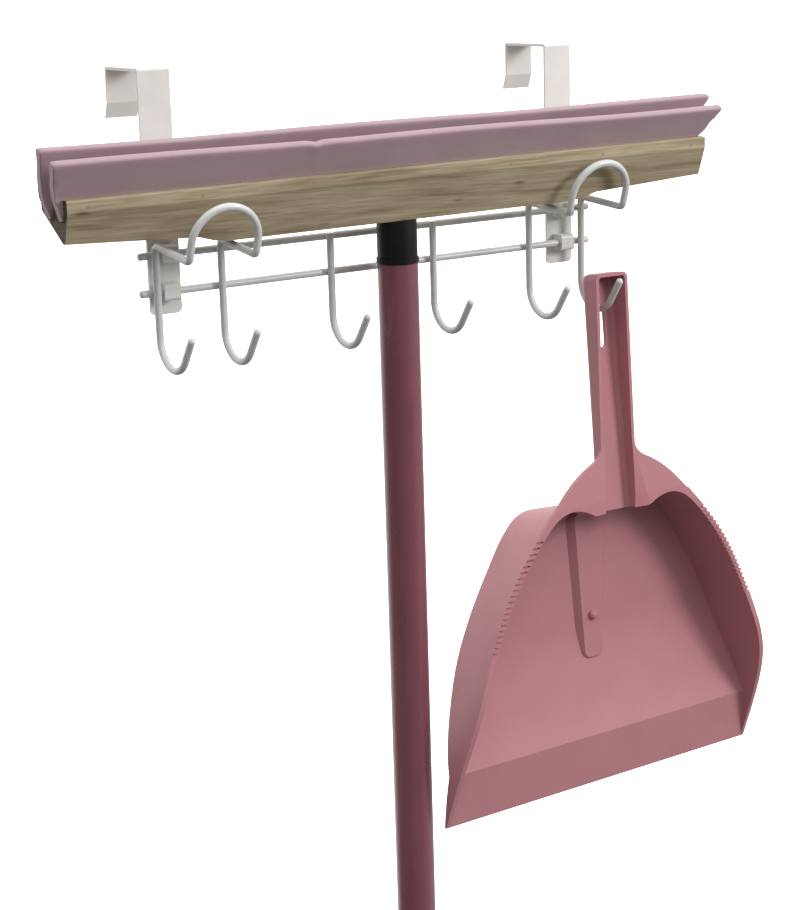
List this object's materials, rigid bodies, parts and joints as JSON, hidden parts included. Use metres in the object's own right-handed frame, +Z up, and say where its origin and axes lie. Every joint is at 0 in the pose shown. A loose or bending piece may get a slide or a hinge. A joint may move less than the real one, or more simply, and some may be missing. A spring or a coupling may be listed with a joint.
{
  "type": "dust pan and brush set",
  "caption": "Over-door wire hook rack carrying a two-blade floor squeegee on a pole and a hanging dustpan.",
  "frame": {"origin": "middle of the door's top edge, on the underside of the two brackets' bridges, halfway between them and halfway through the door", "axes": "+Z up, +X along the rails towards the dustpan, +Y through the door away from the hooks"},
  "size_m": [0.4534, 0.1019, 1.3209],
  "materials": {
    "coated_wire": "satin",
    "bracket_white": "satin",
    "block_wood": "raw",
    "blade_foam": "matte",
    "nail_steel": "dull",
    "black_plastic": "satin",
    "tube_steel": "satin",
    "sleeve_plum": "gloss",
    "pan_pink": "satin"
  },
  "bodies": {
    "rack": {"rail_upper": "coated_wire", "rail_lower": "coated_wire", "double_hook_left": "coated_wire", "double_hook_right": "coated_wire", "single_hook_left": "coated_wire", "single_hook_right": "coated_wire", "door_bracket_left": "bracket_white", "door_bracket_right": "bracket_white"},
    "squeegee_head": {"squeegee_block": "block_wood", "blade_front": "blade_foam", "blade_back": "blade_foam", "blade_nails": "nail_steel"},
    "pole": {"pole_ferrule": "black_plastic", "pole_tube": "tube_steel", "pole_sleeve": "sleeve_plum", "pole_end_cap": "black_plastic"},
    "dustpan": {"dustpan": "pan_pink"}
  },
  "joints": [
    {"name": "squeegee_lift", "type": "slide", "parent": "rack", "child": "squeegee_head", "axis": [0, 0, 1], "range_m": [0, 0.06]},
    {"name": "pole_unscrew", "type": "hinge", "parent": "squeegee_head", "child": "pole", "pos_m": [-0.002, -0.04625, -0.1], "axis": [0, 0, 1], "continuous": true},
    {"name": "dustpan_swing", "type": "hinge", "parent": "rack", "child": "dustpan", "pos_m": [0.1365, -0.0432, -0.1491], "axis": [-1, 0, 0], "range_deg": [-3, 20]}
  ]
}
